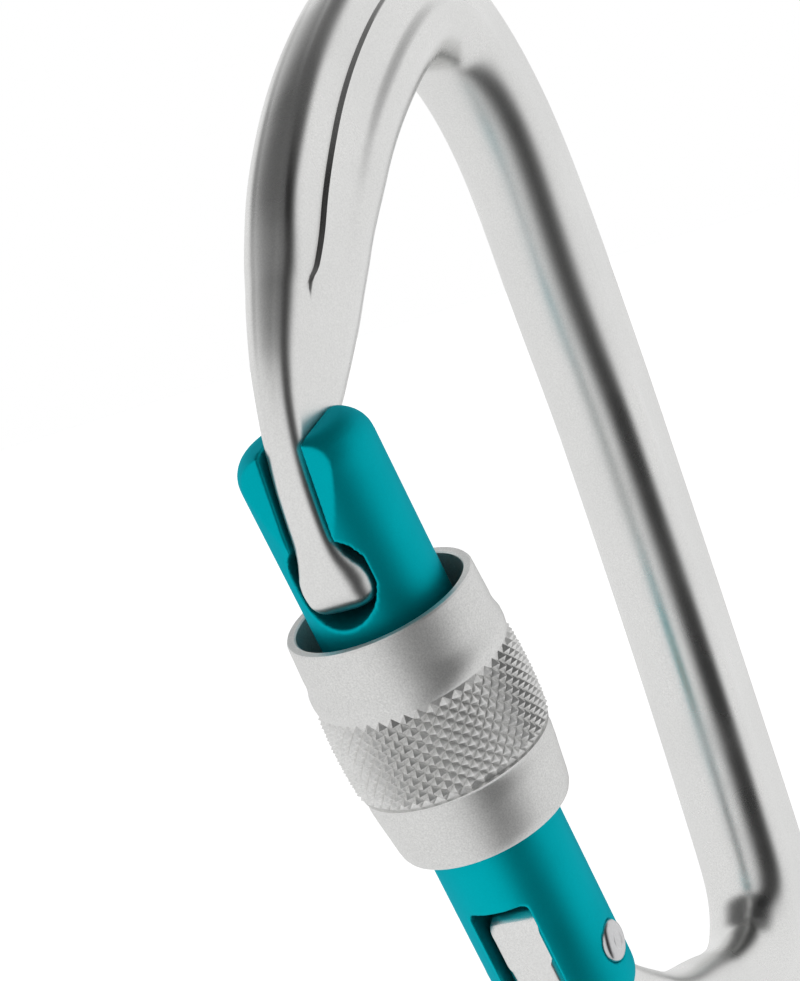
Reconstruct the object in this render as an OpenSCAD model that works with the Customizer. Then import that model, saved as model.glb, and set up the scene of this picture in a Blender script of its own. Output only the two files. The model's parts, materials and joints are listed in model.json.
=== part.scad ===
// Screw-locking carabiner: a forged D-shaped frame, a keylock gate on a rivet,
// a spring-loaded plunger that closes the gate, and a threaded locking sleeve.
//
// Drawn around the hinge pin, then moved so that the rope seat in the basket is the origin.
// +Z runs up the spine, +X points from the spine to the gate, +Y runs along the hinge pin.

/* [Frame] */
// Overall length of the carabiner along the spine
body_length = 96; // [90:1:104]
// Width of the forged section, front to back, where a rope runs
section_w = 8.6; // [8:0.1:9.4]
// Depth of the spine between its outer and inner faces
spine_depth = 9.0; // [8.4:0.1:10]
// Depth of the basket, where the section is strongest
basket_depth = 10.4; // [9.6:0.1:11]
// Depth of the forged relief in each side
relief = 0.8; // [0.5:0.1:1.2]

/* [Gate] */
// Diameter of the gate bar
gate_d = 10; // [9.6:0.1:11]
// Lean of the closed gate away from the spine
gate_lean = 15.5; // [14.5:0.5:16.5]
// Largest opening angle of the gate
gate_swing = 45; // [40:1:46]
// Width of the slot that takes the hinge tang
tang_slot_w = 4.65; // [4.2:0.05:4.9]
// Side play of the tang in its slot, on each side
tang_play = 0.12; // [0.08:0.01:0.2]
// Diameter of the hinge rivet's shank
rivet_d = 2.6; // [2.2:0.1:2.9]
// Diameter of the rivet's formed heads
rivet_head_d = 3.1; // [3:0.1:3.6]
// Radial play of the rivet in the frame
rivet_play = 0.05; // [0.03:0.01:0.1]

/* [Nose] */
// Width of the nose head that the gate hooks onto
head_w = 5.1; // [4.6:0.1:5.3]
// Width of the neck of the nose between the gate's ears
neck_w = 2.7; // [2.5:0.1:3.2]
// Play of the nose in the gate, on each side
nose_play = 0.26; // [0.2:0.02:0.4]

/* [Locking sleeve] */
// Length of the sleeve
sleeve_l = 18.2; // [17:0.1:19]
// Wall of the sleeve over its smooth bands
sleeve_wall = 1.5; // [1.4:0.1:1.8]
// Height of the knurled band over the smooth bands
knurl_rise = 1.1; // [0.6:0.1:1.4]
// Pitch of the locking thread
thread_pitch = 1.5; // [1.4:0.1:1.6]
// Height of the thread above the gate bar
thread_h = 0.45; // [0.3:0.05:0.6]
// Turns between unlocked and locked
lock_turns = 6; // [5:1:6]

/* [Plunger and spring] */
// Diameter of the plunger
plunger_d = 3; // [2.6:0.1:3.2]
// Length of the plunger's barrel
plunger_l = 9; // [7:0.5:10]
// Wire diameter of the return spring
wire_d = 0.45; // [0.35:0.05:0.55]
// Working coils of the return spring
coils = 11; // [8:1:13]

/* [Hidden] */
$fn = 96;
eps = 0.01;

// Scale of the outline and of the places along the gate
k = body_length / 96;
gate_r = gate_d / 2;

// Places along the gate, measured from the hinge pin
ear_top_z = 43.7 * k;
pocket_z = 33.6 * k;
head_z = 34.5 * k;
slot_top_z = gate_r + 1.9;
bore_top_z = 24 * k;
sleeve_z = 11.9 * k;
thread_z = sleeve_z + 0.9;
lock_travel = lock_turns * thread_pitch;

// Hinge tang
tang_w = tang_slot_w - 2 * tang_play;
tang_r = 0.8 * gate_r;

// Cam lobe on the tang, and the plunger that it lifts
lobe_r = 2.8;
lobe_arm = 3.0;
lobe_drop = 0.4;
lobe_top_z = lobe_r - lobe_drop;
plunger_x = -2.1;
bore_r = plunger_d / 2 + 0.1;
guide_l = 3;

// Nose and the pocket it sits in
head_r = head_w / 2;
pocket_r = head_r + nose_play;
ear_slot_w = neck_w + 2 * nose_play;
pocket_back_x = -1.7;

// Outline of the frame's outer face, from the nose over the basket and down the spine to
// the hinge: each step is an arc with its length and the angle it turns through
nose_at = [14.0, 33.5];
nose_heading = 86;
outline = [
    [5, 11],      // nose, leaning in over the gate
    [12, 42],
    [3, -16],     // slight hollow above the ears
    [23.5, 23],   // arm
    [11, 9],
    [8.5, 33],    // basket
    [11.5, 44],
    [10, 22],
    [7, 12],      // shoulder of the spine
    [13.5, 4],
    [47, 0],      // spine
    [21, 90],     // lower bend
    [8, 13],
    [12.5, 22],   // lower arm
    [12.5, 9]     // up to the gate's ears
];

// Section along the outline: distance, depth, width, relief in each side, flange share,
// width of the outer face as a share of the full width, and how far the face stands out
stations = [
    [0, 5.7, neck_w, 0, 0.3, 1, 0.5],
    [6, 6.4, neck_w, 0, 0.3, 1, 1.0],
    [10.8, 7.4, neck_w + 0.1, 0, 0.3, 0.95, 1.6],
    [14, 8.3, neck_w + 2, 0, 0.3, 0.75, 2.05],
    [19, 9.5, section_w - 2.6, 0.2 * relief, 0.3, 0.72, 2.7],
    [25, 10.1, section_w - 1.3, 0.6 * relief, 0.32, 0.62, 2.9],
    [33, basket_depth, section_w - 0.2, relief, 0.33, 0.58, 2.4],
    [46, basket_depth + 0.1, section_w + 0.3, relief, 0.32, 0.56, 1.3],
    [62, basket_depth, section_w + 0.4, relief, 0.3, 0.6, 0],
    [76, basket_depth, section_w - 0.2, relief, 0.28, 0.66, 0],
    [98, basket_depth + 0.4, section_w - 0.9, relief, 0.26, 0.78, 0],
    [114, spine_depth + 0.5, section_w - 1, 0.6 * relief, 0.3, 0.86, 0],
    [134, spine_depth, section_w - 0.9, 0.3 * relief, 0.3, 0.88, 0],
    [150, spine_depth + 0.4, section_w - 0.8, relief, 0.28, 0.88, 0],
    [164, basket_depth + 0.6, section_w - 1, relief, 0.28, 0.88, 0],
    [182, basket_depth - 0.2, section_w - 1.2, relief, 0.3, 0.9, 0],
    [198, 7.4, section_w - 1.8, 0.5 * relief, 0.3, 0.95, 0],
    [207, 6.2, section_w - 2.2, 0, 0.3, 1, 0]
];

step = 2;

// Sum of the first n entries of column c
function total(list, c, n) = n <= 0 ? 0 : list[n - 1][c] + total(list, c, n - 1);

// End of an arc that starts at p with the given heading
function arc_end(p, heading, length, turn) =
    let (mid = heading + turn / 2)
    let (half = turn / 2)
    let (chord = abs(half) < 0.01 ? length : length * sin(half) / (half * PI / 180))
    [p[0] + chord * cos(mid), p[1] + chord * sin(mid)];

// Start of outline step i
function step_start(i) = i == 0
    ? nose_at * k
    : arc_end(step_start(i - 1), nose_heading + total(outline, 1, i - 1),
              outline[i - 1][0] * k, outline[i - 1][1]);

starts = [for (i = [0 : len(outline)]) step_start(i)];
headings = [for (i = [0 : len(outline)]) nose_heading + total(outline, 1, i)];
reached = [for (i = [0 : len(outline)]) total(outline, 0, i)];
outline_l = reached[len(outline)];

// Outline step that holds distance s
function step_of(s, i = 0) =
    (i >= len(outline) - 1 || s < reached[i + 1]) ? i : step_of(s, i + 1);

// Point and heading of the outer face at distance s: [x, z, heading]
function outline_at(s) =
    let (i = step_of(s))
    let (share = (s - reached[i]) / outline[i][0])
    let (p = arc_end(starts[i], headings[i], share * outline[i][0] * k, share * outline[i][1]))
    [p[0], p[1], headings[i] + share * outline[i][1]];

// Smooth value of station column c at distance s
function station_of(s, i = 0) =
    (i >= len(stations) - 2 || s < stations[i + 1][0]) ? i : station_of(s, i + 1);
function rise(i, c) = (stations[i + 1][c] - stations[i][c]) / (stations[i + 1][0] - stations[i][0]);
function slope_at(i, c) =
    i == 0 || i == len(stations) - 1 || rise(i - 1, c) * rise(i, c) <= 0
        ? 0
        : 2 * rise(i - 1, c) * rise(i, c) / (rise(i - 1, c) + rise(i, c));
function section_at(s, c) =
    let (i = station_of(s))
    let (gap = stations[i + 1][0] - stations[i][0])
    let (t = min(1, max(0, (s - stations[i][0]) / gap)))
    let (bend = slope_at(i, c) * (1 - t) - slope_at(i + 1, c) * t)
    stations[i][c] * (1 - t) * (1 - t) * (1 + 2 * t) + stations[i + 1][c] * t * t * (3 - 2 * t)
        + gap * t * (1 - t) * bend;

// Right half of the forged section as [depth from the outer face, half width]:
// crowned outer face, flank that widens inwards, relief, then a full round on the inner side
function half_section(depth, width, cut, flange, face) =
    let (h = width / 2)
    let (e = h * face)
    let (ro = min(1.5, 0.55 * e))
    let (f = depth * flange)
    let (g = depth * 0.58)
    let (wall = depth * 0.08)
    let (flare = (h - e) / (g - ro))
    concat(
        [[0, 0], [0.08, 0.5 * e]],
        [for (a = [30, 60, 90]) [0.15 + ro - ro * cos(a), e - ro + ro * sin(a)]],
        [[f, e + flare * (f - ro)], [f + wall, e + flare * (f + wall - ro) - cut]],
        [[g - wall, h - flare * wall - cut], [g, h - 0.15 * cut]],
        [for (a = [20 : 17.5 : 90]) [g + (depth - g) * sin(a), h * cos(a)]]
    );

// Whole section ring at distance s, in space
function ring_at(s) =
    let (o = outline_at(s))
    let (v = [for (c = [1 : 6]) section_at(s, c)])
    let (half = half_section(v[0], v[1], v[2], v[3], v[4]))
    let (n = len(half))
    let (loop = concat(half, [for (i = [n - 2 : -1 : 1]) [half[i][0], -half[i][1]]]))
    [for (q = loop) at_depth(o, q[0] - v[5], q[1])];

// Point at a depth below the outline and a distance y off the middle plane
function at_depth(o, depth, y) = [o[0] - depth * sin(o[2]), y, o[1] + depth * cos(o[2])];

// Point on the inner face at distance s, in the plane of the frame
function inner_at(s) = at_depth(outline_at(s), section_at(s, 1) - section_at(s, 6), 0);

basket = inner_at(64);
ring_count = floor(outline_l / step);

module place() {
    translate(-basket) children();
}

// Moves a child from the gate's own axes (z along the gate) into the frame's
module on_gate() {
    rotate([0, gate_lean, 0]) children();
}

// Extrudes a flat shape drawn in x and z, centred on the frame's middle plane
module slab(width) {
    rotate([90, 0, 0]) linear_extrude(width, center = true) children();
}

// Revolves a profile drawn as [radius, z]
module turned(points) {
    rotate_extrude() polygon(points);
}

module forged_sweep() {
    rings = [for (i = [0 : ring_count]) ring_at(outline_l * i / ring_count)];
    n = len(rings[0]);
    sides = [for (i = [0 : ring_count - 1], j = [0 : n - 1])
        [i * n + j, (i + 1) * n + j, (i + 1) * n + (j + 1) % n, i * n + (j + 1) % n]];
    first = [[for (j = [0 : n - 1]) j]];
    last = [[for (j = [n - 1 : -1 : 0]) ring_count * n + j]];
    polyhedron([for (r = rings, p = r) p], concat(sides, first, last), convexity = 8);
}

// Hook at the end of the nose, wider than the neck behind it
module nose_head() {
    on_gate() translate([-1.2, 0, head_z]) rotate([0, 90, 0])
        cylinder(d = head_w, h = gate_r - 0.4 + 1.2);
}

// Tang that the gate swings on: disc round the rivet, block in the slot, cam lobe and neck
module tang() {
    end = outline_at(outline_l);
    depth = section_at(outline_l, 1);
    on_gate() slab(tang_w) {
        circle(r = lobe_top_z - 0.02);
        difference() {
            circle(r = tang_r);
            translate([-gate_d - 0.3, 0]) square(gate_d);
        }
        translate([-0.3, 0]) square([3.9, 4.4]);
        translate([0.7, 0]) square([1.7, 5.6]);
        translate([0.7, 4.6]) circle(r = 1);
        translate([2.4, 4.4]) circle(r = 1.2);
        translate([-lobe_arm, -lobe_drop]) circle(r = lobe_r);
    }
    slab(tang_w - 0.1) polygon([
        [0, 0],
        [0.4, 0.1 - tang_r],
        end_point(end, 0.4, -1),
        end_point(end, depth - 0.6, -1),
        end_point(end, depth - 0.3, 0.6),
        [-4, 1.6]
    ]);
}

// Point at a depth below the end of the outer face, moved along by ahead
function end_point(end, depth, ahead) = [
    end[0] + ahead * cos(end[2]) - depth * sin(end[2]),
    end[1] + ahead * sin(end[2]) + depth * cos(end[2])
];

module frame() color([0.80, 0.80, 0.79]) place() {
    difference() {
        union() {
            forged_sweep();
            nose_head();
            tang();
        }
        rotate([90, 0, 0]) cylinder(d = rivet_d + 2 * rivet_play, h = 2 * gate_d, center = true);
    }
}

// Row of ring ridges that stand for the thread, crests at radius crest
module thread_rings(from_z, count, base, crest) {
    half = 0.27 * thread_pitch;
    tip = 0.13 * thread_pitch;
    for (i = [0 : count - 1])
        translate([0, 0, from_z + i * thread_pitch])
            turned([[base, -half], [crest, -tip], [crest, tip], [base, half]]);
}

module gate_bar() {
    r = gate_r;
    c = 2;
    intersection() {
        union() {
            turned(concat(
                [[0, -r], [r, -r]],
                [for (a = [0 : 15 : 90]) [r - c + c * cos(a), ear_top_z - c + c * sin(a)]],
                [[0, ear_top_z]]
            ));
            thread_rings(thread_z + thread_pitch / 2, 9, r - 0.2, r + thread_h);
        }
        union() {
            rotate([90, 0, 0]) cylinder(r = r, h = 3 * r, center = true);
            translate([-2 * r, -2 * r, 0]) cube([4 * r, 4 * r, ear_top_z + 1]);
        }
    }
}

// Keyhole that the nose drops into, open outwards, with the ears sloped back at its mouth
module keyhole() {
    reach = gate_d;
    for (z = [pocket_z, pocket_z + 1.1])
        translate([pocket_back_x, 0, z]) rotate([0, 90, 0]) cylinder(r = pocket_r, h = reach);
    translate([pocket_back_x, -pocket_r, pocket_z]) cube([reach, 2 * pocket_r, 1.1]);
    slab(ear_slot_w) polygon([
        [pocket_back_x, pocket_z],
        [pocket_back_x - 0.9, pocket_z + 4.2],
        [pocket_back_x - 3.3, pocket_z + 6.8],
        [-gate_d, pocket_z + 8.4],
        [-gate_d, ear_top_z + 1],
        [gate_d, ear_top_z + 1],
        [gate_d, pocket_z]
    ]);
    slab(3 * gate_d) polygon([
        [gate_r + 0.02, ear_top_z - 7.6],
        [gate_r - 2.1, ear_top_z + 0.6],
        [gate_d, ear_top_z + 0.6],
        [gate_d, ear_top_z - 7.6]
    ]);
}

module gate() color([0.0, 0.62, 0.68]) place() on_gate() {
    difference() {
        gate_bar();
        keyhole();
        translate([-gate_d, -tang_slot_w / 2, -gate_d])
            cube([2 * gate_d, tang_slot_w, gate_d + slot_top_z]);
        translate([plunger_x, 0, slot_top_z - 1]) cylinder(r = bore_r, h = bore_top_z - slot_top_z + 1);
        rotate([90, 0, 0]) cylinder(d = rivet_d, h = 3 * gate_d, center = true);
        for (side = [-1, 1])
            translate([0, side * (gate_r - 0.45 + 2), 0]) rotate([90, 0, 0])
                cylinder(d = rivet_head_d, h = 4, center = true);
    }
}

module hinge_rivet() color([0.72, 0.73, 0.74]) place() {
    head = gate_r - 0.45;
    rotate([90, 0, 0]) {
        cylinder(d = rivet_d, h = 2 * head, center = true);
        for (side = [0, 1]) mirror([0, 0, side]) translate([0, 0, head]) {
            cylinder(d = rivet_head_d, h = 0.62);
            translate([0, 0, 0.62]) cylinder(d1 = rivet_head_d, d2 = rivet_head_d - 0.9, h = 0.12);
        }
    }
}

module plunger() color([0.78, 0.62, 0.32]) place() on_gate() translate([plunger_x, 0, lobe_top_z]) {
    r = plunger_d / 2;
    turned([[0, 0], [r - 0.35, 0], [r, 0.35], [r, plunger_l], [0.75, plunger_l],
            [0.75, plunger_l + guide_l - 0.3], [0.45, plunger_l + guide_l], [0, plunger_l + guide_l]]);
}

// Coil spring between the plunger's shoulder and the end of its bore
module return_spring() color([0.66, 0.67, 0.69]) place() on_gate()
    translate([plunger_x, 0, lobe_top_z + plunger_l]) {
    wr = wire_d / 2;
    mean_r = plunger_d / 2 - wr - 0.05;
    span = bore_top_z - lobe_top_z - plunger_l - 2 * wr;
    per_turn = 18;
    sides = 6;
    count = coils * per_turn;
    rings = [for (i = [0 : count])
        let (a = 360 * i / per_turn)
        let (z = wr + span * i / count)
        [for (j = [0 : sides - 1])
            let (b = 360 * j / sides)
            [(mean_r + wr * cos(b)) * cos(a), (mean_r + wr * cos(b)) * sin(a), z + wr * sin(b)]]];
    faces = [for (i = [0 : count - 1], j = [0 : sides - 1])
        [i * sides + j, i * sides + (j + 1) % sides, (i + 1) * sides + (j + 1) % sides,
         (i + 1) * sides + j]];
    polyhedron([for (r = rings, p = r) p],
        concat(faces, [[for (j = [sides - 1 : -1 : 0]) j]],
               [[for (j = [0 : sides - 1]) count * sides + j]]), convexity = 12);
}

module locking_sleeve() color([0.76, 0.76, 0.75]) place() on_gate() translate([0, 0, sleeve_z]) {
    r = gate_r;
    w = r + sleeve_wall;
    top = sleeve_l;
    knurl_a = 0.31 * top;
    knurl_b = 0.695 * top;
    bore = r + thread_h + 0.12;
    turned([
        [bore + 0.25, 0], [w - 0.35, 0], [w - 0.05, 0.3], [w, 0.8],
        [w, knurl_a - 0.9], [w - 0.15, knurl_a - 0.5], [w + 0.45 * knurl_rise, knurl_a],
        [w + 0.85 * knurl_rise, knurl_a + 1.6], [w + knurl_rise, (knurl_a + knurl_b) / 2],
        [w + 0.85 * knurl_rise, knurl_b - 1.6], [w + 0.55 * knurl_rise, knurl_b],
        [w + 0.2, knurl_b + 0.35], [w + 0.35, knurl_b + 0.9],
        [w + 0.5, top - 0.35], [w + 0.35, top],
        [r + 1.4, top], [r + 1.3, top - 0.3], [r + 1.3, top - 5.2],
        [bore, top - 6], [bore, 0.35]
    ]);
    thread_rings(thread_z - sleeve_z, 6, bore + 0.2, r + 0.1);
}

echo(rope_seat = basket, frame_end = outline_at(outline_l), inner_end = inner_at(outline_l));

frame();
gate();
hinge_rivet();
return_spring();
plunger();
locking_sleeve();
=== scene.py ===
"""Visible pieces of a screw-locking carabiner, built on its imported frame.

Lengths in the tables below are millimetres. The frame's own pieces are drawn round the hinge
pin, with z up along the spine; the gate's pieces are drawn on the gate's axis, with z up along it.
"""

import json
import math

import bmesh
import bpy
import numpy as np
from bpy.props import FloatProperty, FloatVectorProperty, IntProperty, PointerProperty
from mathutils import Matrix, Quaternion, Vector

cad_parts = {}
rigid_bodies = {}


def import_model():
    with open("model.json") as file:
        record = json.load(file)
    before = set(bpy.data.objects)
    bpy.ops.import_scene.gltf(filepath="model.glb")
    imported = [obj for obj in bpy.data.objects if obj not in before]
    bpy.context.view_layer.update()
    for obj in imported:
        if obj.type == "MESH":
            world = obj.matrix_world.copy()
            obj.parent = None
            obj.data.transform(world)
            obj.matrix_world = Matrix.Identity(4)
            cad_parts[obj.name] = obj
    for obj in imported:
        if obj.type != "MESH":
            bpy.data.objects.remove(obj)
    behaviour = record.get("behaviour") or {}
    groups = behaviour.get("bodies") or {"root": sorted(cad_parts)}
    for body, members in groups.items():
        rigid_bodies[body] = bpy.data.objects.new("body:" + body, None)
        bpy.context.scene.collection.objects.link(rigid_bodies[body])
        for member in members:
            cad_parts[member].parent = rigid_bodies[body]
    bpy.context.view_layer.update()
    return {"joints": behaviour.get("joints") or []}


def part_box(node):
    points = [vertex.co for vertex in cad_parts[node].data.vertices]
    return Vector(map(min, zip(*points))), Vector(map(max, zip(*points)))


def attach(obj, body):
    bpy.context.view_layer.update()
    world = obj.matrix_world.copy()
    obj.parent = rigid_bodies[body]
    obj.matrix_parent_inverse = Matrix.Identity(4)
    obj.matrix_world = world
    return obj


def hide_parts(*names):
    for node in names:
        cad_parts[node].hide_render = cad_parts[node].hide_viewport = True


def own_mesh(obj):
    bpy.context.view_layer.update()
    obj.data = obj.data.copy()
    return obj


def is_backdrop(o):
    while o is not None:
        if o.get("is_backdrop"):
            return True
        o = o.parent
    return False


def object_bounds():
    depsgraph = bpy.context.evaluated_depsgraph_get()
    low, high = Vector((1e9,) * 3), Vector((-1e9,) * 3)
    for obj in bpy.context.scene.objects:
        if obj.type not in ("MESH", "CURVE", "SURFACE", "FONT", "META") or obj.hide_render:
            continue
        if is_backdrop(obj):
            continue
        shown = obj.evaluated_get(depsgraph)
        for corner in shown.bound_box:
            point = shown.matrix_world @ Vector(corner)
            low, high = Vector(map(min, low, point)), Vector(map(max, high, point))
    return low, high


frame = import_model()

bl_info = {
    "name": "Screw-locking carabiner",
    "version": (1, 0, 0),
    "blender": (4, 5, 0),
    "location": "3D View > Sidebar > Carabiner",
    "description": "Builds the visible pieces of a screw-locking carabiner on its packed frame",
    "category": "Add Mesh",
}

MM = 0.001
JOINTS = {joint["name"]: joint for joint in frame["joints"]}
PIN = (Vector(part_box("hinge_rivet")[0]) + Vector(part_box("hinge_rivet")[1])) / 2
GATE_AXIS = Vector(JOINTS["sleeve_travel"]["axis"])
LEAN = math.atan2(GATE_AXIS.x, GATE_AXIS.z)
ON_PIN = Matrix.Translation(PIN) @ Matrix.Scale(MM, 4)
ON_GATE = Matrix.Translation(PIN) @ Matrix.Rotation(LEAN, 4, "Y") @ Matrix.Scale(MM, 4)

# Points of a mesh that lie closer than this are one
MERGE_GAP = 0.0005

# Sizes and places that several of the gate's pieces share, on the gate's axis
THREAD_PITCH = 1.5
PLUNGER_X = -2.1
BORE_TOP = 24.0

# Outer face of the forging from the tip of the nose, over the basket and down the spine to
# the hinge: arcs with a length and the angle each turns through. The tip is placed on the
# gate's axis, and distances are measured from the neck, where the nose's own arcs end.
NOSE_TIP = (4.69, 31.73)
NOSE = ((2.8, 0), (1.5, 11.5))
NOSE_LENGTH = sum(length for length, turn in NOSE)
OUTLINE = (
    *NOSE, (5, 11), (12, 42), (3, -16), (23.5, 23), (11, 9), (8.5, 33), (11.5, 44), (10, 22), (7, 12),
    (13.5, 4), (47, 0), (21, 90), (8, 13), (12.5, 22), (12.5, 9),
)

# Section along the outer face, from the neck of the nose: distance, depth, width, share of
# the depth at the crease, width of the outer face as a share of the full width, how far the
# face stands out, height of the crease, height of the inner rail, radius of the edge,
# rounding of the nose's tip
STATIONS = (
    (-4.3, 6.2, 2.6, 0.36, 1.00, 0.7, 0.00, 0.00, 1.0, 1.50),
    (-4.15, 6.2, 3.6, 0.36, 1.00, 0.7, 0.00, 0.00, 1.1, 1.00),
    (-3.8, 6.2, 4.6, 0.36, 1.00, 0.7, 0.00, 0.00, 1.4, 0.55),
    (-3.1, 6.2, 5.2, 0.36, 1.00, 0.7, 0.00, 0.00, 1.7, 0.15),
    (-2.3, 6.2, 5.3, 0.36, 1.00, 0.7, 0.00, 0.00, 1.8, 0.00),
    (-1.5, 6.2, 5.0, 0.36, 1.00, 0.7, 0.00, 0.00, 1.7, 0.00),
    (-0.6, 6.1, 4.2, 0.36, 1.00, 0.6, 0.00, 0.00, 1.4, 0.00),
    (0.5, 6.1, 3.4, 0.36, 1.00, 0.56, 0.00, 0.00, 1.1, 0.00),
    (2.0, 6.2, 3.1, 0.36, 1.00, 0.62, 0.00, 0.00, 1.0, 0.00),
    (6, 6.6, 3.0, 0.36, 1.00, 0.92, 0.00, 0.00, 1.0, 0.00),
    (10.8, 7.5, 3.3, 0.34, 0.98, 1.55, 0.00, 0.00, 1.1, 0.00),
    (14, 8.4, 4.3, 0.30, 0.86, 2.05, 0.00, 0.00, 1.25, 0.00),
    (18.2, 9.3, 5.6, 0.24, 0.79, 2.57, 0.00, 0.00, 1.45, 0.00),
    (19.4, 9.5, 5.95, 0.20, 0.77, 2.64, 0.22, 0.00, 1.5, 0.00),
    (21.0, 9.7, 6.4, 0.25, 0.75, 2.71, 0.32, 0.02, 1.5, 0.00),
    (25, 10.2, 7.3, 0.29, 0.67, 2.8, 0.34, 0.15, 1.5, 0.00),
    (33, 10.5, 8.4, 0.28, 0.61, 2.35, 0.34, 0.50, 1.6, 0.00),
    (46, 10.5, 8.9, 0.27, 0.58, 1.25, 0.30, 0.65, 1.7, 0.00),
    (62, 10.4, 9.0, 0.28, 0.60, 0.0, 0.15, 0.70, 1.8, 0.00),
    (76, 10.4, 8.4, 0.30, 0.66, 0.0, 0.05, 0.60, 1.8, 0.00),
    (98, 10.8, 7.7, 0.30, 0.78, 0.0, 0.12, 0.25, 1.6, 0.00),
    (114, 9.5, 7.6, 0.30, 0.86, 0.0, 0.16, 0.10, 1.5, 0.00),
    (134, 9.0, 7.7, 0.28, 0.88, 0.0, 0.00, 0.10, 1.4, 0.00),
    (150, 9.4, 7.8, 0.28, 0.88, 0.0, 0.05, 0.10, 1.4, 0.00),
    (164, 10.3, 7.6, 0.28, 0.88, 0.0, 0.05, 0.12, 1.4, 0.00),
    (182, 10.2, 7.4, 0.30, 0.88, 0.0, 0.05, 0.20, 1.4, 0.00),
    (198, 7.4, 6.8, 0.30, 0.93, 0.0, 0.00, 0.10, 1.3, 0.00),
    (207, 6.2, 6.4, 0.30, 1.00, 0.0, 0.00, 0.00, 1.2, 0.00),
)


# ---------------------------------------------------------------- settings

class ForgingSizes(bpy.types.PropertyGroup):
    ring_step: FloatProperty(name="Ring step", description="Distance between two rings of the forging",
                             default=0.5 * MM, unit="LENGTH")
    tang_width: FloatProperty(name="Tang width", description="Width of the tang between the gate's ears",
                              default=4.4 * MM, unit="LENGTH")
    tang_edge: FloatProperty(name="Tang edge", description="Rounding of the tang's edges",
                             default=1.3 * MM, unit="LENGTH")


class GateSizes(bpy.types.PropertyGroup):
    diameter: FloatProperty(name="Bar", description="Diameter of the gate bar",
                            default=10 * MM, unit="LENGTH")
    top: FloatProperty(name="Ear top", description="Height of the ears above the hinge pin",
                       default=43.7 * MM, unit="LENGTH")
    slot: FloatProperty(name="Tang slot", description="Width of the slot for the tang",
                        default=4.65 * MM, unit="LENGTH")
    grain: FloatProperty(name="Surface detail", description="Size of the smallest surface detail",
                         default=0.14 * MM, unit="LENGTH")


class SleeveSizes(bpy.types.PropertyGroup):
    foot: FloatProperty(name="Foot", description="Height of the sleeve's lower edge above the hinge pin",
                        default=11.9 * MM, unit="LENGTH")
    length: FloatProperty(name="Length", description="Length of the locking sleeve",
                          default=18.2 * MM, unit="LENGTH")
    knurls: IntProperty(name="Knurls", description="Diamonds round the knurled band", default=46)
    knurl_depth: FloatProperty(name="Knurl depth", description="Depth of the grooves between the diamonds",
                               default=0.4 * MM, unit="LENGTH")


class FinishColours(bpy.types.PropertyGroup):
    forging: FloatVectorProperty(name="Forging", description="Colour of the bright forging", subtype="COLOR",
                                 default=(0.80, 0.80, 0.79))
    anodising: FloatVectorProperty(name="Anodising", description="Colour of the anodised gate",
                                   subtype="COLOR", default=(0.0, 0.45, 0.52))
    sleeve: FloatVectorProperty(name="Sleeve", description="Colour of the blasted sleeve", subtype="COLOR",
                                default=(0.74, 0.74, 0.73))
    steel: FloatVectorProperty(name="Steel", description="Colour of the rivet and the spring",
                               subtype="COLOR", default=(0.66, 0.66, 0.67))
    brass: FloatVectorProperty(name="Brass", description="Colour of the plunger", subtype="COLOR",
                               default=(0.75, 0.53, 0.22))


class StudioSettings(bpy.types.PropertyGroup):
    azimuth: FloatProperty(name="Azimuth", description="Direction that the camera looks from",
                           default=math.radians(118.27), subtype="ANGLE")
    elevation: FloatProperty(name="Elevation", description="Height of the camera over the horizon",
                             default=math.radians(4.9), subtype="ANGLE")
    roll: FloatProperty(name="Roll", description="Turn of the camera about its own axis",
                        default=math.radians(18.45), subtype="ANGLE")
    distance: FloatProperty(name="Distance", description="Distance from the camera to what it aims at",
                            default=180 * MM, unit="LENGTH")
    aim: FloatVectorProperty(name="Aim", description="What the camera aims at, from the hinge pin",
                             default=(13.15 * MM, 7.06 * MM, 36.41 * MM), unit="LENGTH")
    lens: FloatProperty(name="Lens", description="Focal length on a 36 mm long side, in mm", default=100.86)
    drop: FloatProperty(name="Floor drop", description="Gap between the carabiner and the floor",
                        default=30 * MM, unit="LENGTH")


# ---------------------------------------------------------------- mesh tools

def deselect():
    for obj in bpy.context.view_layer.objects:
        obj.select_set(False)


def make_active(obj):
    deselect()
    obj.select_set(True)
    bpy.context.view_layer.objects.active = obj


def mesh_object(name, points, faces=(), edges=()):
    mesh = bpy.data.meshes.new(name)
    mesh.from_pydata([tuple(p) for p in points], edges, faces)
    mesh.validate()
    obj = bpy.data.objects.new(name, mesh)
    bpy.context.collection.objects.link(obj)
    return obj


def edit_mesh(obj, *steps):
    """Runs edit-mode steps in order, each on the whole mesh."""
    make_active(obj)
    bpy.ops.object.mode_set(mode="EDIT")
    for step in steps:
        bpy.ops.mesh.select_all(action="SELECT")
        step()
    bpy.ops.object.mode_set(mode="OBJECT")


def merge_doubles():
    bpy.ops.mesh.remove_doubles(threshold=MERGE_GAP)


def turn_outwards():
    bpy.ops.mesh.normals_make_consistent(inside=False)


def settle(obj):
    edit_mesh(obj, merge_doubles, turn_outwards)


def cylinder(name, radius, low, high, axis="Z", centre=(0, 0), sides=96):
    """Upright by default; axis X or Y lays it along that axis, at centre in the other two."""
    deselect()
    bpy.ops.mesh.primitive_cylinder_add(vertices=sides, radius=radius, depth=high - low,
                                        location=(0, 0, 0))
    obj = bpy.context.active_object
    obj.name = name
    obj.data.transform(Matrix.Translation((0, 0, (low + high) / 2)))
    first, second = centre
    if axis == "X":
        placing = Matrix.Translation((0, first, second)) @ Matrix.Rotation(math.pi / 2, 4, "Y")
    elif axis == "Y":
        placing = Matrix.Translation((first, 0, second)) @ Matrix.Rotation(-math.pi / 2, 4, "X")
    else:
        placing = Matrix.Translation((first, second, 0))
    obj.data.transform(placing)
    return obj


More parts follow.
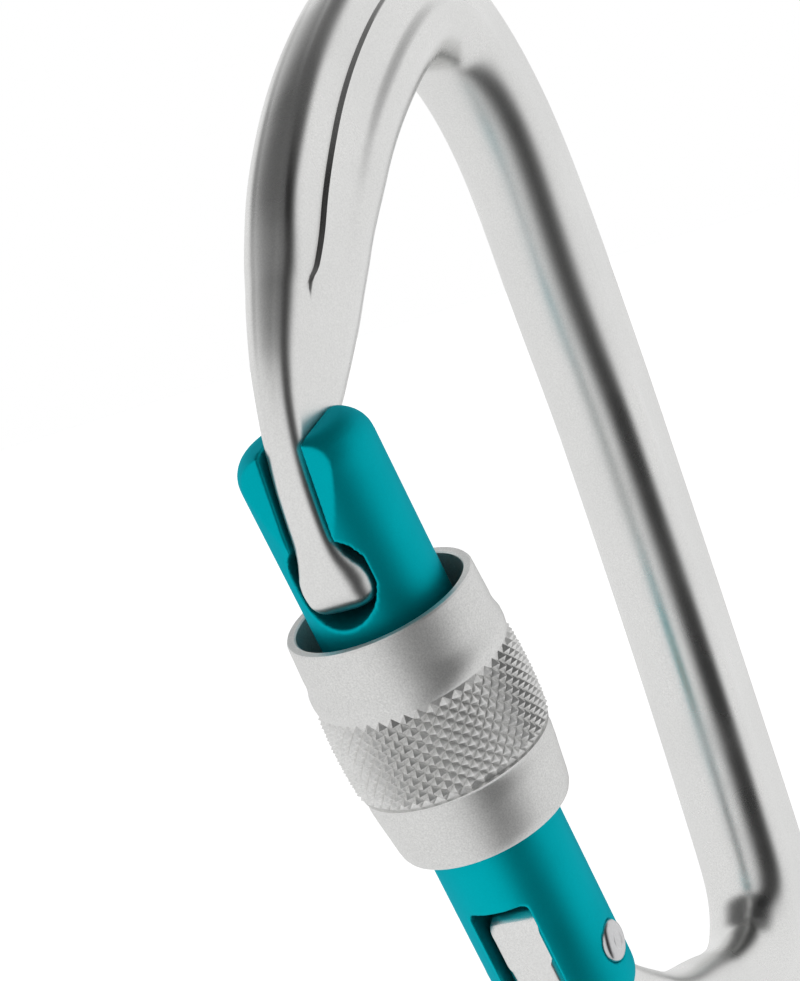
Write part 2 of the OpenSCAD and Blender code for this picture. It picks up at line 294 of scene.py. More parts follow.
def box(name, low, high):
    deselect()
    bpy.ops.mesh.primitive_cube_add(size=1, location=(0, 0, 0))
    obj = bpy.context.active_object
    obj.name = name
    low, high = Vector(low), Vector(high)
    obj.data.transform(Matrix.Translation((low + high) / 2) @ Matrix.Diagonal((*(high - low), 1)))
    return obj


def slab(name, outline, low, high):
    """Flat shape drawn in x and z, with its faces at y low and high."""
    count = len(outline)
    points = [(x, low, z) for x, z in outline] + [(x, high, z) for x, z in outline]
    faces = [tuple(range(count)), tuple(reversed(range(count, 2 * count)))]
    faces += [(i, i + count, (i + 1) % count + count, (i + 1) % count) for i in range(count)]
    obj = mesh_object(name, points, faces)
    settle(obj)
    return obj


def apply_modifier(obj, kind, **values):
    make_active(obj)
    modifier = obj.modifiers.new(kind.title(), kind)
    for name, value in values.items():
        setattr(modifier, name, value)
    bpy.ops.object.modifier_apply(modifier=modifier.name)


def join_solids(obj, tool, operation):
    apply_modifier(obj, "BOOLEAN", operation=operation, solver="EXACT", object=tool)
    bpy.data.objects.remove(tool)


def arc(centre, radius, start, end, count):
    """Points of an arc between two angles in degrees."""
    turns = [math.radians(start + (end - start) * i / (count - 1)) for i in range(count)]
    return [(centre[0] + radius * math.cos(t), centre[1] + radius * math.sin(t)) for t in turns]


def bevel_sharp(obj, width, segments, angle=40):
    apply_modifier(obj, "BEVEL", width=width, segments=segments, limit_method="ANGLE",
                   angle_limit=math.radians(angle), use_clamp_overlap=True)


def finish_piece(obj, placing, body, node, material, smooth=35):
    """Puts a piece in the row's frame, on its body, with its finish."""
    obj.data.transform(placing)
    obj.data.update()
    obj.data.materials.clear()
    obj.data.materials.append(material)
    make_active(obj)
    bpy.ops.object.shade_smooth_by_angle(angle=math.radians(smooth))
    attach(obj, body)
    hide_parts(node)


# ---------------------------------------------------------------- finishes

def group_nodes(name, inputs, outputs):
    group = bpy.data.node_groups.new(name, "ShaderNodeTree")
    for label, kind, value in inputs:
        socket = group.interface.new_socket(label, in_out="INPUT", socket_type=kind)
        socket.default_value = value
    for label, kind in outputs:
        group.interface.new_socket(label, in_out="OUTPUT", socket_type=kind)
    return group, group.nodes.new("NodeGroupInput"), group.nodes.new("NodeGroupOutput")


def math_node(tree, operation, first, second=None, clamp=False):
    node = tree.nodes.new("ShaderNodeMath")
    node.operation = operation
    node.use_clamp = clamp
    for socket, value in zip(node.inputs, (first, second)):
        if value is None:
            continue
        if isinstance(value, (int, float)):
            socket.default_value = value
        else:
            tree.links.new(value, socket)
    return node.outputs[0]


def ramp(tree, value, low, high, to_low=0.0, to_high=1.0):
    node = tree.nodes.new("ShaderNodeMapRange")
    node.interpolation_type = "SMOOTHSTEP"
    tree.links.new(value, node.inputs["Value"])
    for name, number in (("From Min", low), ("From Max", high), ("To Min", to_low), ("To Max", to_high)):
        node.inputs[name].default_value = number
    return node.outputs["Result"]


def blast_group():
    """Shot-blast grain: a height, and a mask of brighter and darker specks."""
    if "blast grain" in bpy.data.node_groups:
        return bpy.data.node_groups["blast grain"]
    group, given, result = group_nodes(
        "blast grain",
        (("Grains per metre", "NodeSocketFloat", 9000.0), ("Contrast", "NodeSocketFloat", 0.5)),
        (("Height", "NodeSocketFloat"), ("Specks", "NodeSocketFloat")),
    )
    place = group.nodes.new("ShaderNodeTexCoord").outputs["Object"]
    fine = group.nodes.new("ShaderNodeTexNoise")
    fine.inputs["Detail"].default_value = 2.0
    fine.inputs["Roughness"].default_value = 0.7
    group.links.new(place, fine.inputs["Vector"])
    group.links.new(given.outputs["Grains per metre"], fine.inputs["Scale"])
    coarse = group.nodes.new("ShaderNodeTexNoise")
    coarse.inputs["Detail"].default_value = 2.0
    group.links.new(place, coarse.inputs["Vector"])
    coarse_scale = math_node(group, "MULTIPLY", given.outputs["Grains per metre"], 0.23)
    group.links.new(coarse_scale, coarse.inputs["Scale"])
    swell = math_node(group, "MULTIPLY", coarse.outputs["Fac"], 0.5)
    group.links.new(math_node(group, "ADD", fine.outputs["Fac"], swell), result.inputs["Height"])
    centred = math_node(group, "SUBTRACT", fine.outputs["Fac"], 0.5)
    spread = math_node(group, "MULTIPLY", centred, given.outputs["Contrast"])
    group.links.new(math_node(group, "ADD", spread, 0.5, clamp=True), result.inputs["Specks"])
    return group


def wear_group():
    """Mask of edges that handling has polished, broken up by a soft noise."""
    if "edge wear" in bpy.data.node_groups:
        return bpy.data.node_groups["edge wear"]
    group, given, result = group_nodes(
        "edge wear",
        (("Width", "NodeSocketFloat", 0.0004), ("Amount", "NodeSocketFloat", 0.5)),
        (("Edges", "NodeSocketFloat"),),
    )
    bevel = group.nodes.new("ShaderNodeBevel")
    bevel.samples = 4
    group.links.new(given.outputs["Width"], bevel.inputs["Radius"])
    geometry = group.nodes.new("ShaderNodeNewGeometry")
    dot = group.nodes.new("ShaderNodeVectorMath")
    dot.operation = "DOT_PRODUCT"
    group.links.new(bevel.outputs["Normal"], dot.inputs[0])
    group.links.new(geometry.outputs["Normal"], dot.inputs[1])
    turned = ramp(group, math_node(group, "SUBTRACT", 1.0, dot.outputs["Value"]), 0.01, 0.12)
    noise = group.nodes.new("ShaderNodeTexNoise")
    noise.inputs["Scale"].default_value = 700.0
    noise.inputs["Detail"].default_value = 3.0
    group.links.new(group.nodes.new("ShaderNodeTexCoord").outputs["Object"], noise.inputs["Vector"])
    broken = math_node(group, "MULTIPLY", turned, ramp(group, noise.outputs["Fac"], 0.35, 0.65, 0.4, 1.0))
    mask = math_node(group, "MULTIPLY", broken, given.outputs["Amount"], clamp=True)
    group.links.new(mask, result.inputs["Edges"])
    return group


def metal(name, colour, roughness, grains, contrast, depth, wear, worn_colour, smudge=0.06,
          metallic=1.0, rim=(1.0, 1.0, 1.0)):
    """Metal with blast grain, a little uneven sheen and polished edges."""
    material = bpy.data.materials.new(name)
    material.use_nodes = True
    tree = material.node_tree
    shader = next(n for n in tree.nodes if n.type == "BSDF_PRINCIPLED")
    shader.inputs["Metallic"].default_value = metallic
    shader.inputs["Specular Tint"].default_value = (*rim, 1)

    grain = tree.nodes.new("ShaderNodeGroup")
    grain.node_tree = blast_group()
    grain.inputs["Grains per metre"].default_value = grains
    grain.inputs["Contrast"].default_value = contrast
    edges = tree.nodes.new("ShaderNodeGroup")
    edges.node_tree = wear_group()
    edges.inputs["Amount"].default_value = wear

    dark, light = (tuple(c * k for c in colour) + (1,) for k in (0.72, 1.2))
    specks = tree.nodes.new("ShaderNodeMix")
    specks.data_type = "RGBA"
    specks.inputs["A"].default_value = dark
    specks.inputs["B"].default_value = light
    tree.links.new(grain.outputs["Specks"], specks.inputs["Factor"])
    worn = tree.nodes.new("ShaderNodeMix")
    worn.data_type = "RGBA"
    worn.inputs["B"].default_value = (*worn_colour, 1)
    tree.links.new(specks.outputs["Result"], worn.inputs["A"])
    tree.links.new(edges.outputs["Edges"], worn.inputs["Factor"])
    tree.links.new(worn.outputs["Result"], shader.inputs["Base Color"])

    cloud = tree.nodes.new("ShaderNodeTexNoise")
    cloud.inputs["Scale"].default_value = 90.0
    cloud.inputs["Detail"].default_value = 4.0
    tree.links.new(tree.nodes.new("ShaderNodeTexCoord").outputs["Object"], cloud.inputs["Vector"])
    uneven = ramp(tree, cloud.outputs["Fac"], 0.3, 0.7, roughness - smudge, roughness + smudge)
    polish = math_node(tree, "MULTIPLY", edges.outputs["Edges"], 0.12)
    tree.links.new(math_node(tree, "SUBTRACT", uneven, polish), shader.inputs["Roughness"])

    bump = tree.nodes.new("ShaderNodeBump")
    bump.inputs["Strength"].default_value = 1.0
    bump.inputs["Distance"].default_value = depth
    tree.links.new(grain.outputs["Height"], bump.inputs["Height"])
    tree.links.new(bump.outputs["Normal"], shader.inputs["Normal"])
    return material


def finish(name):
    """The carabiner's finishes, each made once."""
    if name in bpy.data.materials:
        return bpy.data.materials[name]
    colours = bpy.context.scene.carabiner_finishes
    recipes = {
        "bright forging": dict(colour=colours.forging, roughness=0.3, grains=7000, contrast=0.7, depth=1.6e-6,
                               wear=0.3, worn_colour=(0.9, 0.9, 0.9)),
        "teal anodising": dict(colour=colours.anodising, roughness=0.46, grains=8000, contrast=0.35,
                               depth=1.2e-6, wear=0.12, worn_colour=(0.05, 0.52, 0.58), metallic=0.9,
                               rim=(0.0, 0.7, 0.8)),
        "blasted sleeve": dict(colour=colours.sleeve, roughness=0.42, grains=8000, contrast=1.3, depth=6e-6,
                               wear=0.5, worn_colour=(0.9, 0.9, 0.89), metallic=0.88),
        "rivet steel": dict(colour=colours.steel, roughness=0.26, grains=5000, contrast=0.5, depth=2e-6,
                            wear=0.4, worn_colour=(0.9, 0.9, 0.9)),
        "spring wire": dict(colour=colours.steel, roughness=0.2, grains=6000, contrast=0.3, depth=1e-6,
                            wear=0.1, worn_colour=(0.9, 0.9, 0.9)),
        "turned brass": dict(colour=colours.brass, roughness=0.24, grains=5000, contrast=0.4, depth=1e-6,
                             wear=0.3, worn_colour=(0.95, 0.8, 0.5)),
    }
    return metal(name, **recipes[name])


# ---------------------------------------------------------------- forging

def arc_end(x, z, heading, length, turn):
    """Where an arc that starts at x and z ends, and its heading there."""
    half = turn / 2
    chord = length if abs(half) < 1e-6 else length * math.sin(half) / half
    return x + chord * math.cos(heading + half), z + chord * math.sin(heading + half), heading + turn


def outline_points(step):
    """Points of the outer face as rows of distance, x, z and heading, closer together on the nose."""
    x = NOSE_TIP[0] * math.cos(LEAN) + NOSE_TIP[1] * math.sin(LEAN)
    z = NOSE_TIP[1] * math.cos(LEAN) - NOSE_TIP[0] * math.sin(LEAN)
    heading = math.pi / 2 - LEAN
    travelled = -NOSE_LENGTH
    rows = []
    for length, turn in OUTLINE:
        fine = step if travelled >= -MERGE_GAP else step / 4
        count = max(2, math.ceil(length / fine))
        turn = math.radians(turn)
        for i in range(count):
            share = i / count
            rows.append((travelled + length * share, *arc_end(x, z, heading, length * share, turn * share)))
        x, z, heading = arc_end(x, z, heading, length, turn)
        travelled += length
    rows.append((travelled, x, z, heading))
    return even_out(np.array(rows))


def even_out(rows):
    """Eases the joins between the arcs, and leaves the nose and the hinge end alone."""
    nose_end, hinge_end, fade, passes = 5, 3, 6, 50
    reach = np.minimum(rows[:, 0] - nose_end, rows[-1, 0] - hinge_end - rows[:, 0])
    free = np.clip(reach / fade, 0, 1)[1:-1, None]
    for _ in range(passes):
        mean = (rows[:-2] + 2 * rows[1:-1] + rows[2:]) / 4
        rows[1:-1] += (mean - rows[1:-1]) * free
    return rows


def section_at(distance):
    """Section values at a distance, on a smooth curve through the stations that never overshoots."""
    table = np.array(STATIONS)
    gaps = np.diff(table[:, 0])[:, None]
    rises = np.diff(table[:, 1:], axis=0) / gaps
    before, after = rises[:-1], rises[1:]
    same = before * after > 0
    slopes = np.zeros((len(table), table.shape[1] - 1))
    slopes[1:-1][same] = 2 * before[same] * after[same] / (before[same] + after[same])
    i = int(np.clip(np.searchsorted(table[:, 0], distance, side="right") - 1, 0, len(table) - 2))
    gap = gaps[i, 0]
    t = float(np.clip((distance - table[i, 0]) / gap, 0, 1))
    share = t * t * (3 - 2 * t)
    bend = gap * t * (1 - t) * (slopes[i] * (1 - t) - slopes[i + 1] * t)
    return table[i, 1:] * (1 - share) + table[i + 1, 1:] * share + bend


def half_section(depth, width, flange, face, crease, rail, edge):
    """Half of a section as (depth, half width), from the middle of the outer face to the middle
    of the inner one: crowned face, rounded edge, flank, crease, flank, inner rail and full round."""
    half = width / 2
    brow = half * face
    edge = min(edge, 0.72 * brow)
    crown = 0.14 * brow / 4.5
    start = crown + edge
    turn = 0.68 * depth
    tilt = math.atan2(max(0, half - brow - crease - rail), turn - start)

    def flank(d):
        return brow + math.tan(tilt) * (d - start)

    def smooth(t):
        return t * t * (3 - 2 * t)

    # crowned face and rounded edge
    points = [(crown * (i / 6) ** 2, (brow - edge) * i / 6) for i in range(6)]
    points += [(start - edge * math.cos(a), brow - edge + edge * math.sin(a))
               for a in np.linspace(0, math.pi / 2 - tilt, 13)]
    # flank down to the crease, and the crease's step
    first = points[-1][0]
    rim = max(depth * flange, first + 0.5)
    depths = [first + (rim - first) * t for t in (0.3, 0.6, 0.85)]
    points += [(d, flank(d)) for d in depths]
    points += [(rim + d, flank(rim + d) + share * crease)
               for d, share in ((0, -0.08), (0.05, 0.1), (0.12, 0.6), (0.19, 0.94), (0.26, 1), (0.6, 1))]
    # soft rise to the inner rail
    low = max(0.50 * depth, rim + 0.9)
    high = low + 0.12 * depth
    points += [(low + (high - low) * t, flank(low + (high - low) * t) + crease + rail * smooth(t))
               for t in (0, 0.15, 0.3, 0.45, 0.6, 0.75, 0.9, 1)]
    # full round of the inner face
    turn = max(turn, high + 0.2)
    points += [(turn + (depth - turn) * math.sin(a), half * math.cos(a))
               for a in np.linspace(0, math.pi / 2, 20)]
    return points


def forging_skin(step):
    """Skin of the forging, one ring of points after another along the outer face."""
    rings = []
    for distance, x, z, heading in outline_points(step):
        depth, width, flange, face, out, crease, rail, edge, tip = section_at(distance)
        half = half_section(depth, width, flange, face, crease, rail, edge)
        half = [(tip + d * (depth - 2 * tip) / depth - out, w) for d, w in half]
        loop = half + [(d, -w) for d, w in half[-2:0:-1]]
        rings.append([(x - d * math.sin(heading), w, z + d * math.cos(heading)) for d, w in loop])
    size = len(rings[0])
    faces = [(a + j, a + (j + 1) % size, a + size + (j + 1) % size, a + size + j)
             for a in range(0, (len(rings) - 1) * size, size) for j in range(size)]
    faces += [tuple(reversed(range(size))), tuple((len(rings) - 1) * size + j for j in range(size))]
    return mesh_object("forged_frame", [p for ring in rings for p in ring], faces)


def tang(width, edge):
    """Tongue that the gate swings on, drawn on the gate's axis."""
    _, x, z, heading = outline_points(1)[-1]
    depth = STATIONS[-1][1]
    root = []
    for inward, ahead in ((depth - 0.4, 0.4), (depth - 0.8, -1.2), (0.6, -1.2)):
        px = x + ahead * math.cos(heading) - inward * math.sin(heading)
        pz = z + ahead * math.sin(heading) + inward * math.cos(heading)
        root.append((px * math.cos(LEAN) - pz * math.sin(LEAN), px * math.sin(LEAN) + pz * math.cos(LEAN)))
    front, top, beyond = 3.95, 5.6, -20
    disc = arc((0, 0), 4.0, -80, 25.8, 16)
    block = arc((1.9, 3.9), 1.7, 0, 90, 10) + arc((0.7, 4.6), 1.0, 90, 180, 7)
    hollow = [(-0.3, 2.6), (-0.6, 2.33), (-1.4, 2.05)]
    cam_lobe = arc((-3.0, -0.4), 2.78, 72, 170, 12)
    obj = slab("tang", disc + block + hollow + cam_lobe + root, -width / 2, width / 2)
    bevel_sharp(obj, 0.3, 3, angle=50)
    rounded = box("tang_rounding", (beyond, -width / 2, beyond), (front, width / 2, top))
    bevel_sharp(rounded, edge, 10)
    join_solids(obj, rounded, "INTERSECT")
    obj.data.transform(Matrix.Rotation(LEAN, 4, "Y"))
    return obj


class CARABINER_OT_forging(bpy.types.Operator):
    """Forges the frame: nose, arm, basket, spine, lower bend and hinge tang in one piece"""
    bl_idname = "carabiner.forging"
    bl_label = "Forged frame"

    def execute(self, context):
        sizes = context.scene.carabiner_forging
        skin = forging_skin(sizes.ring_step / MM)
        settle(skin)
        join_solids(skin, tang(sizes.tang_width / MM, sizes.tang_edge / MM), "UNION")
        join_solids(skin, cylinder("bore", 1.35, -9, 9, axis="Y", sides=48), "DIFFERENCE")
        finish_piece(skin, ON_PIN, "frame", "frame", finish("bright forging"))
        return {"FINISHED"}


# ---------------------------------------------------------------- gate

def thread(name, radius, tip, low, turns, steps=48):
    """Helical ridge of the locking thread, base at radius and crest at radius plus tip."""
    base, crest = 0.27 * THREAD_PITCH, 0.13 * THREAD_PITCH
    inner = radius - math.copysign(0.25, tip)
    profile = [(inner, 0, -base), (radius + tip, 0, -crest), (radius + tip, 0, crest), (inner, 0, base)]
    obj = mesh_object(name, [(x, y, z + low) for x, y, z in profile], edges=((0, 1), (1, 2), (2, 3), (3, 0)))
    apply_modifier(obj, "SCREW", screw_offset=THREAD_PITCH, iterations=turns, steps=steps,
                   render_steps=steps, axis="Z", use_merge_vertices=False, use_smooth_shade=False)
    edit_mesh(obj, lambda: bpy.ops.mesh.fill_holes(sides=4), turn_outwards)
    return obj


class CARABINER_OT_gate(bpy.types.Operator):
    """Turns the gate bar and cuts its keyhole, tang slot, plunger bore and rivet seats"""
    bl_idname = "carabiner.gate"
    bl_label = "Gate"

    def execute(self, context):
        sizes = context.scene.carabiner_gate
        r, top, slot = sizes.diameter / MM / 2, sizes.top / MM, sizes.slot / MM / 2
        bar = cylinder("gate_bar", r, -r, top, sides=128)
        bevel_sharp(bar, 2.2, 7)
        foot = box("foot", (-2 * r, -2 * r, -2 * r), (2 * r, 2 * r, 0))
        join_solids(foot, cylinder("heel", r, -3 * r, 3 * r, axis="Y", sides=128), "DIFFERENCE")
        join_solids(bar, foot, "DIFFERENCE")
        join_solids(bar, thread("gate_thread", radius=r, tip=0.45, low=13.55, turns=8), "UNION")

        # keyhole: a pocket for the nose's head, its roof raised, and a slot up between the ears
        back, half_slot, beyond = -1.7, 1.72, 12
        pocket_z, raised = 33.6, 1.1
        pocket = cylinder("pocket", 2.88, back, 9, axis="X", centre=(0, pocket_z), sides=64)
        for vertex in pocket.data.vertices:
            if vertex.co.z > pocket_z:
                vertex.co.z += raised
        join_solids(bar, pocket, "DIFFERENCE")
        ears = [(back, 33.5), (-2.6, 37.8), (-5, 40.4), (-beyond, 42.1), (-beyond, 46), (beyond, 46),
                (beyond, 33.5)]
        join_solids(bar, slab("ear_slot", ears, -half_slot, half_slot), "DIFFERENCE")
        slope = [(r + 0.02, top - 7.6), (r - 2.1, top + 0.6), (beyond, top + 0.6), (beyond, top - 7.6)]
        join_solids(bar, slab("ear_slope", slope, -beyond, beyond), "DIFFERENCE")

        # tang slot, plunger bore, rivet hole and the seats of the rivet's heads
        window = box("window", (-beyond, -slot, -beyond), (beyond, slot, 6.9))
        bevel_sharp(window, 0.5, 3)
        join_solids(bar, window, "DIFFERENCE")
        bore = cylinder("bore", 1.6, 5, BORE_TOP, centre=(PLUNGER_X, 0), sides=48)
        join_solids(bar, bore, "DIFFERENCE")
        join_solids(bar, cylinder("rivet_hole", 1.3, -9, 9, axis="Y", sides=48), "DIFFERENCE")
        seat_depth, past_bar = 0.45, 2
        for low in (r - seat_depth, -r - past_bar):
            seat = cylinder("seat", 1.62, low, low + seat_depth + past_bar, axis="Y", sides=48)
            join_solids(bar, seat, "DIFFERENCE")
        apply_modifier(bar, "REMESH", mode="VOXEL", voxel_size=sizes.grain / MM)
        apply_modifier(bar, "SMOOTH", factor=0.5, iterations=7)
        finish_piece(bar, ON_GATE, "gate", "gate", finish("teal anodising"),
                     smooth=60)
        return {"FINISHED"}


class CARABINER_OT_rivet(bpy.types.Operator):
    """Forms the hinge rivet with a low domed head at each end"""
    bl_idname = "carabiner.rivet"
    bl_label = "Hinge rivet"

    def execute(self, context):
        r = context.scene.carabiner_gate.diameter / MM / 2
        profile = [(0, r + 0.29), (0.55, r + 0.27), (0.62, r + 0.22), (0.75, r + 0.26), (1.15, r + 0.2),
                   (1.4, r + 0.08), (1.52, r - 0.1), (1.53, r - 0.44), (1.28, r - 0.45)]
        profile += [(x, -z) for x, z in reversed(profile)]
        rivet = spin("hinge_rivet_piece", profile, 64)
        rivet.data.transform(Matrix.Rotation(-math.pi / 2, 4, "X"))
        finish_piece(rivet, ON_GATE, "gate", "hinge_rivet", finish("rivet steel"),
                     smooth=50)
        return {"FINISHED"}


def spin(name, profile, steps):
    """Turns a profile of (radius, z) round the z axis into a closed solid."""
    last = len(profile) - 1
    edges = [(i, i + 1) for i in range(last)]
    if profile[0][0] > 0:
        edges.append((last, 0))
    obj = mesh_object(name, [(x, 0, z) for x, z in profile], edges=edges)

    def turn_profile():
        bpy.ops.mesh.spin(steps=steps, angle=2 * math.pi, center=(0, 0, 0), axis=(0, 0, 1))

    edit_mesh(obj, turn_profile, merge_doubles, turn_outwards)
    return obj


class CARABINER_OT_plunger(bpy.types.Operator):
    """Turns the brass plunger that the spring holds on the tang's cam lobe"""
    bl_idname = "carabiner.plunger"
    bl_label = "Plunger"

    def execute(self, context):
        profile = [(0, 0), (1.1, 0), (1.25, 0.05), (1.42, 0.2), (1.5, 0.4), (1.5, 2.2), (1.42, 2.3),
                   (1.42, 2.6), (1.5, 2.7), (1.5, 8.85), (1.38, 9), (0.8, 9), (0.75, 9.08), (0.75, 11.7),
                   (0.6, 11.95), (0, 12)]
        plunger = spin("plunger_pin", profile, 48)
        plunger.data.transform(Matrix.Translation((PLUNGER_X, 0, 2.4)))
        finish_piece(plunger, ON_GATE, "plunger", "plunger", finish("turned brass"))
        return {"FINISHED"}


class CARABINER_OT_spring(bpy.types.Operator):
    """Winds the return spring between the plunger's shoulder and the end of its bore"""
    bl_idname = "carabiner.spring"
    bl_label = "Return spring"

    def execute(self, context):
        low, high, radius, wire, turns, per_turn = 11.4, BORE_TOP, 1.22, 0.225, 13, 24
        curve = bpy.data.curves.new("return_spring_wire", "CURVE")
        curve.dimensions = "3D"
        curve.bevel_depth = wire
        curve.bevel_resolution = 3
        curve.use_fill_caps = True
        spline = curve.splines.new("POLY")
        spline.points.add(turns * per_turn)
        for i, point in enumerate(spline.points):
            t = i / per_turn
            # one closed turn lies flat at each end
            free = min(max(t - 1, 0), turns - 2) / (turns - 2)
            closed = min(t, 1) + min(max(t - (turns - 1), 0), 1)
            z = low + wire + closed * 2 * wire + free * (high - low - 6 * wire)
            angle = 2 * math.pi * t
            point.co = (PLUNGER_X + radius * math.cos(angle), radius * math.sin(angle), z, 1)
        obj = bpy.data.objects.new("return_spring_coil", curve)
        context.collection.objects.link(obj)
        make_active(obj)
        bpy.ops.object.convert(target="MESH")
        obj = context.active_object
        settle(obj)
        finish_piece(obj, ON_GATE, "gate", "return_spring", finish("spring wire"),
                     smooth=60)
        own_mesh(obj)
        return {"FINISHED"}


# ---------------------------------------------------------------- sleeve

def sleeve_profile(top, low, high, rows):
    """Section of the sleeve as (radius, z): lower band, barrel for the knurl, upper band and bore."""
    lower = [(5.7, 0.0), (6.15, 0.02), (6.4, 0.15), (6.55, 0.45), (6.66, 1.0), (6.8, 2.2), (6.98, 3.6),
             (7.08, low - 1.0), (7.02, low - 0.6), (7.06, low - 0.3), (7.2, low - 0.08)]
    barrel = []
    for i in range(rows + 1):
        share = 2 * i / rows - 1
        barrel.append((7.59 - 0.18 * share * share, low + (high - low) * i / rows))
    upper = [(7.22, high + 0.1), (7.3, high + 0.3), (7.36, high + 0.8), (7.34, high + 1.3),
             (7.2, high + 1.8), (7.12, high + 2.3), (7.14, high + 2.8), (7.06, top - 0.9),
             (7.02, top - 0.15), (6.93, top)]
    bore = [(6.42, top), (6.33, top - 0.12), (6.3, top - 0.4), (6.3, top - 5.2), (5.6, top - 6.0), (5.6, 0.5)]
    return lower + barrel + upper + bore


def knurl(obj, low, high, rows, count, depth):
    """Presses in every second point of the barrel, and folds its faces along the grooves."""
    inside_barrel, play = 6.95, 0.01
    bm = bmesh.new()
    bm.from_mesh(obj.data)
    valleys = {}
    for vertex in bm.verts:
        radius = math.hypot(vertex.co.x, vertex.co.y)
        row = (vertex.co.z - low) / (high - low) * rows
        if radius < inside_barrel or abs(row - round(row)) > play or not -play <= row <= rows + play:
            continue
        column = round(math.atan2(vertex.co.y, vertex.co.x) / (2 * math.pi) * count)
        valleys[vertex] = (round(row) + column) % 2 == 0 or round(row) in (0, rows)
        if valleys[vertex]:
            vertex.co.x *= (radius - depth) / radius
            vertex.co.y *= (radius - depth) / radius
    for face in [f for f in bm.faces if all(v in valleys for v in f.verts)]:
        low_corners = [v for v in face.verts if valleys[v]]
        if len(face.verts) == 4 and len(low_corners) >= 2:
            across = next(((a, b) for a in low_corners for b in low_corners if a is not b and
                           not any(a in e.verts and b in e.verts for e in face.edges)), None)
            if across:
                bmesh.utils.face_split(face, *across)
    bm.to_mesh(obj.data)
    bm.free()


class CARABINER_OT_sleeve(bpy.types.Operator):
    """Turns the locking sleeve, knurls its middle band and cuts its thread"""
    bl_idname = "carabiner.sleeve"
    bl_label = "Locking sleeve"

    def execute(self, context):
        sizes = context.scene.carabiner_sleeve
        top = sizes.length / MM
        low, high, rows = 0.31 * top, 0.695 * top, 14
        count = 2 * sizes.knurls
        sleeve = spin("knurled_sleeve", sleeve_profile(top, low, high, rows), count)
        knurl(sleeve, low, high, rows, count, sizes.knurl_depth / MM)
        ridge = thread("sleeve_thread", radius=5.6, tip=-0.5, low=0.9, turns=5)
        join_solids(sleeve, ridge, "UNION")
        sleeve.data.transform(Matrix.Translation((0, 0, sizes.foot / MM)))
        finish_piece(sleeve, ON_GATE, "sleeve", "locking_sleeve",
                     finish("blasted sleeve"), smooth=24)
        return {"FINISHED"}


# ---------------------------------------------------------------- stage

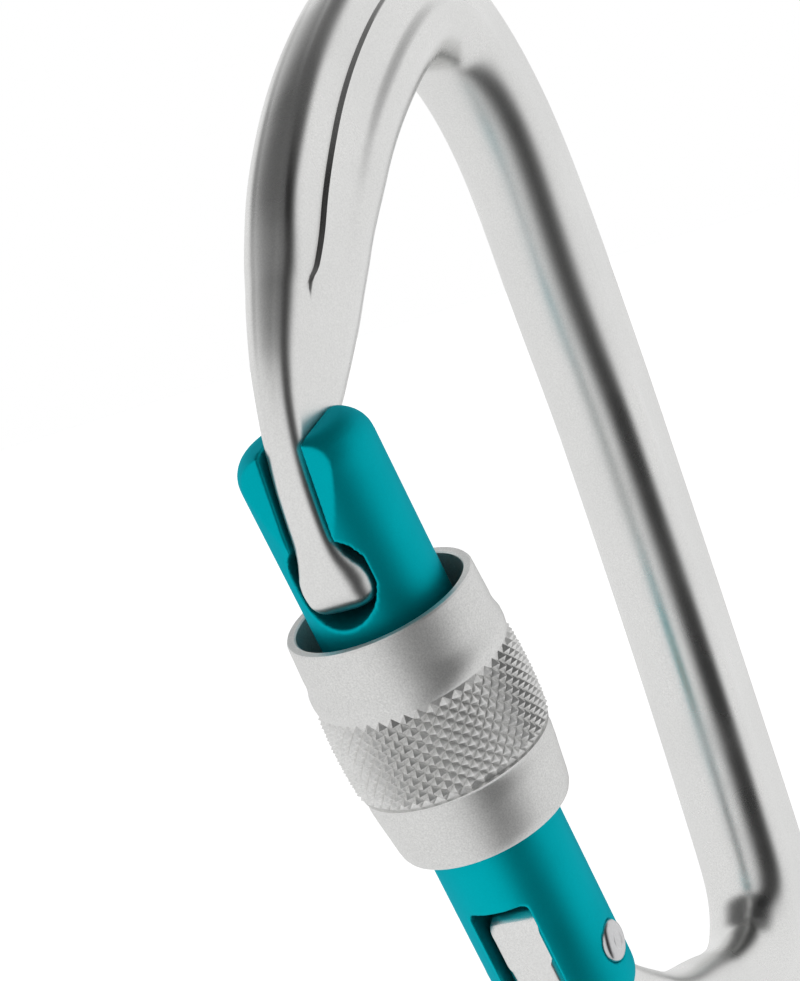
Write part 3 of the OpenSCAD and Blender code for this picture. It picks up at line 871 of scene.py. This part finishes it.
class CARABINER_OT_stage(bpy.types.Operator):
    """Sets the camera, the white tent with one dark gap, and a pale floor"""
    bl_idname = "carabiner.stage"
    bl_label = "Studio"

    def execute(self, context):
        studio = context.scene.carabiner_studio
        self.camera(context, studio)
        self.tent(context)
        self.floor(context, studio)
        return {"FINISHED"}

    def camera(self, context, studio):
        data = bpy.data.cameras.new("camera")
        data.lens = studio.lens
        data.sensor_width = 36
        data.clip_start, data.clip_end = 0.01, 20.0
        camera = bpy.data.objects.new("camera", data)
        context.collection.objects.link(camera)
        a, e = studio.azimuth, studio.elevation
        back = Vector((math.sin(a) * math.cos(e), -math.cos(a) * math.cos(e), math.sin(e)))
        camera.location = PIN + Vector(studio.aim) + back * studio.distance
        camera.rotation_mode = "QUATERNION"
        camera.rotation_quaternion = (-back).to_track_quat("-Z", "Y") @ Quaternion((0, 0, 1), -studio.roll)
        context.scene.camera = camera

    def tent(self, context):
        """White all round for the camera; in reflections it has a dark gap and a dark roof."""
        world = bpy.data.worlds.new("white tent")
        context.scene.world = world
        world.use_nodes = True
        tree = world.node_tree
        tree.nodes.clear()
        direction = tree.nodes.new("ShaderNodeTexCoord").outputs["Generated"]

        def along(x, y, z):
            node = tree.nodes.new("ShaderNodeVectorMath")
            node.operation = "DOT_PRODUCT"
            tree.links.new(direction, node.inputs[0])
            node.inputs[1].default_value = (x, y, z)
            return node.outputs["Value"]

        gap_middle, gap_core, gap_edge = (math.radians(angle) for angle in (58, 17, 47))
        turn = math_node(tree, "ARCTAN2", along(0, 1, 0), along(1, 0, 0))
        aside = math_node(tree, "ABSOLUTE", math_node(tree, "SUBTRACT", turn, gap_middle))
        gap = ramp(tree, aside, gap_core, gap_edge, 0.04, 1)
        roof = ramp(tree, along(0, 0, 1), 0.55, 0.88, 1, 0.12)
        level = math_node(tree, "MULTIPLY", math_node(tree, "MULTIPLY", gap, roof), 0.92)
        lit, seen = (tree.nodes.new("ShaderNodeBackground") for _ in range(2))
        for background in (lit, seen):
            background.inputs["Color"].default_value = (1, 1, 1, 1)
        tree.links.new(level, lit.inputs["Strength"])
        mix = tree.nodes.new("ShaderNodeMixShader")
        tree.links.new(tree.nodes.new("ShaderNodeLightPath").outputs["Is Camera Ray"], mix.inputs["Fac"])
        tree.links.new(lit.outputs[0], mix.inputs[1])
        tree.links.new(seen.outputs[0], mix.inputs[2])
        output = tree.nodes.new("ShaderNodeOutputWorld")
        tree.links.new(mix.outputs[0], output.inputs["Surface"])
        context.scene.view_settings.view_transform = "Standard"

    def floor(self, context, studio):
        metres_wide = 6
        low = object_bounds()[0][2] - studio.drop
        deselect()
        bpy.ops.mesh.primitive_plane_add(size=metres_wide, location=(0, 0, low))
        floor = context.active_object
        floor.name = "studio_floor"
        material = bpy.data.materials.new("pale floor")
        material.use_nodes = True
        shader = next(n for n in material.node_tree.nodes if n.type == "BSDF_PRINCIPLED")
        shader.inputs["Base Color"].default_value = (0.9, 0.9, 0.9, 1)
        shader.inputs["Roughness"].default_value = 0.7
        shader.inputs["Emission Color"].default_value = (1, 1, 1, 1)
        shader.inputs["Emission Strength"].default_value = 0.75
        floor.data.materials.append(material)
        # the metal reflects the tent alone
        floor.visible_glossy = False
        floor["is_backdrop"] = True


# ---------------------------------------------------------------- sidebar

class CARABINER_PT_panel(bpy.types.Panel):
    """Sidebar list of the carabiner's pieces and sizes"""
    bl_idname = "CARABINER_PT_panel"
    bl_label = "Carabiner"
    bl_space_type = "VIEW_3D"
    bl_region_type = "UI"
    bl_category = "Carabiner"

    def draw(self, context):
        for operator in PIECE_OPERATORS:
            self.layout.operator(operator.bl_idname)
        for name in SETTINGS:
            column = self.layout.column(align=True)
            settings = getattr(context.scene, name)
            for key in settings.__annotations__:
                column.prop(settings, key)


PIECE_OPERATORS = (
    CARABINER_OT_forging,
    CARABINER_OT_gate,
    CARABINER_OT_rivet,
    CARABINER_OT_plunger,
    CARABINER_OT_spring,
    CARABINER_OT_sleeve,
    CARABINER_OT_stage,
)
SETTINGS = {
    "carabiner_forging": ForgingSizes,
    "carabiner_gate": GateSizes,
    "carabiner_sleeve": SleeveSizes,
    "carabiner_finishes": FinishColours,
    "carabiner_studio": StudioSettings,
}


def register():
    for cls in (*SETTINGS.values(), *PIECE_OPERATORS, CARABINER_PT_panel):
        bpy.utils.register_class(cls)
    for name, cls in SETTINGS.items():
        setattr(bpy.types.Scene, name, PointerProperty(type=cls))


def unregister():
    for name in SETTINGS:
        delattr(bpy.types.Scene, name)
    for cls in (CARABINER_PT_panel, *reversed(PIECE_OPERATORS), *reversed(SETTINGS.values())):
        bpy.utils.unregister_class(cls)


def main():
    register()
    for operator in PIECE_OPERATORS:
        group, name = operator.bl_idname.split(".")
        getattr(getattr(bpy.ops, group), name)()


if __name__ == "__main__":
    main()
